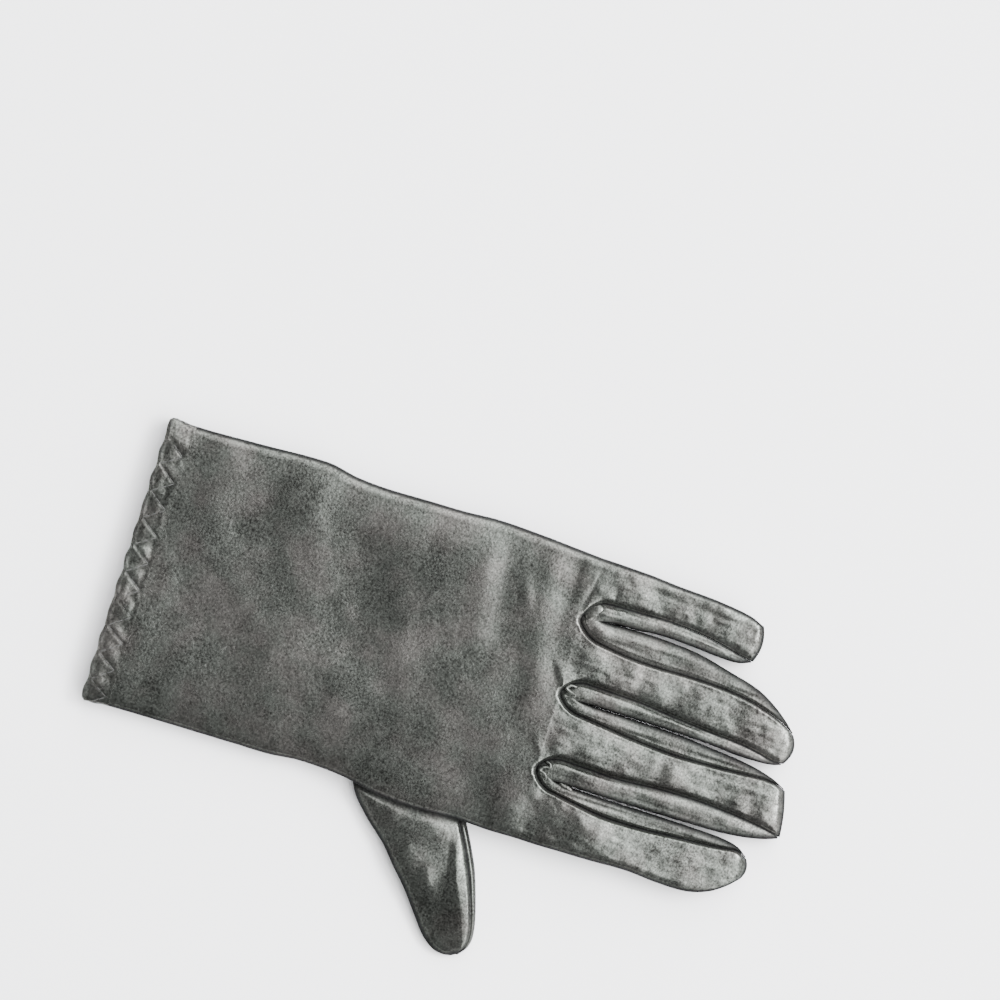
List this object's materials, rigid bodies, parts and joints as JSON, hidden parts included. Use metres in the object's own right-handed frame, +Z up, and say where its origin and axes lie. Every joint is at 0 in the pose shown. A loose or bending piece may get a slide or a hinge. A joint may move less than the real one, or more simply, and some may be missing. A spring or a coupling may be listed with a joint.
{
  "type": "wrist length dress glove",
  "caption": "Wrist-length dress glove for the left hand in thin metallic-coated stretch cloth, lying flat on its palm with the thumb tucked under.",
  "frame": {"origin": "on the surface the glove rests on, under the middle of the palm, 75 mm from the wrist edge", "axes": "+X to the thumb side, +Y from the wrist to the fingertips, +Z up out of the back of the hand"},
  "size_m": [0.1391, 0.2259, 0.0145],
  "materials": {
    "coated_cloth": "satin",
    "stitch_thread": "matte"
  },
  "bodies": {
    "root": {"back_panel": "coated_cloth", "palm_panel": "coated_cloth", "thumb": "coated_cloth", "cuff_hem": "coated_cloth", "little_fourchette_right": "coated_cloth", "ring_fourchette_left": "coated_cloth", "ring_fourchette_right": "coated_cloth", "middle_fourchette_left": "coated_cloth", "middle_fourchette_right": "coated_cloth", "index_fourchette_left": "coated_cloth"}
  },
  "joints": []
}
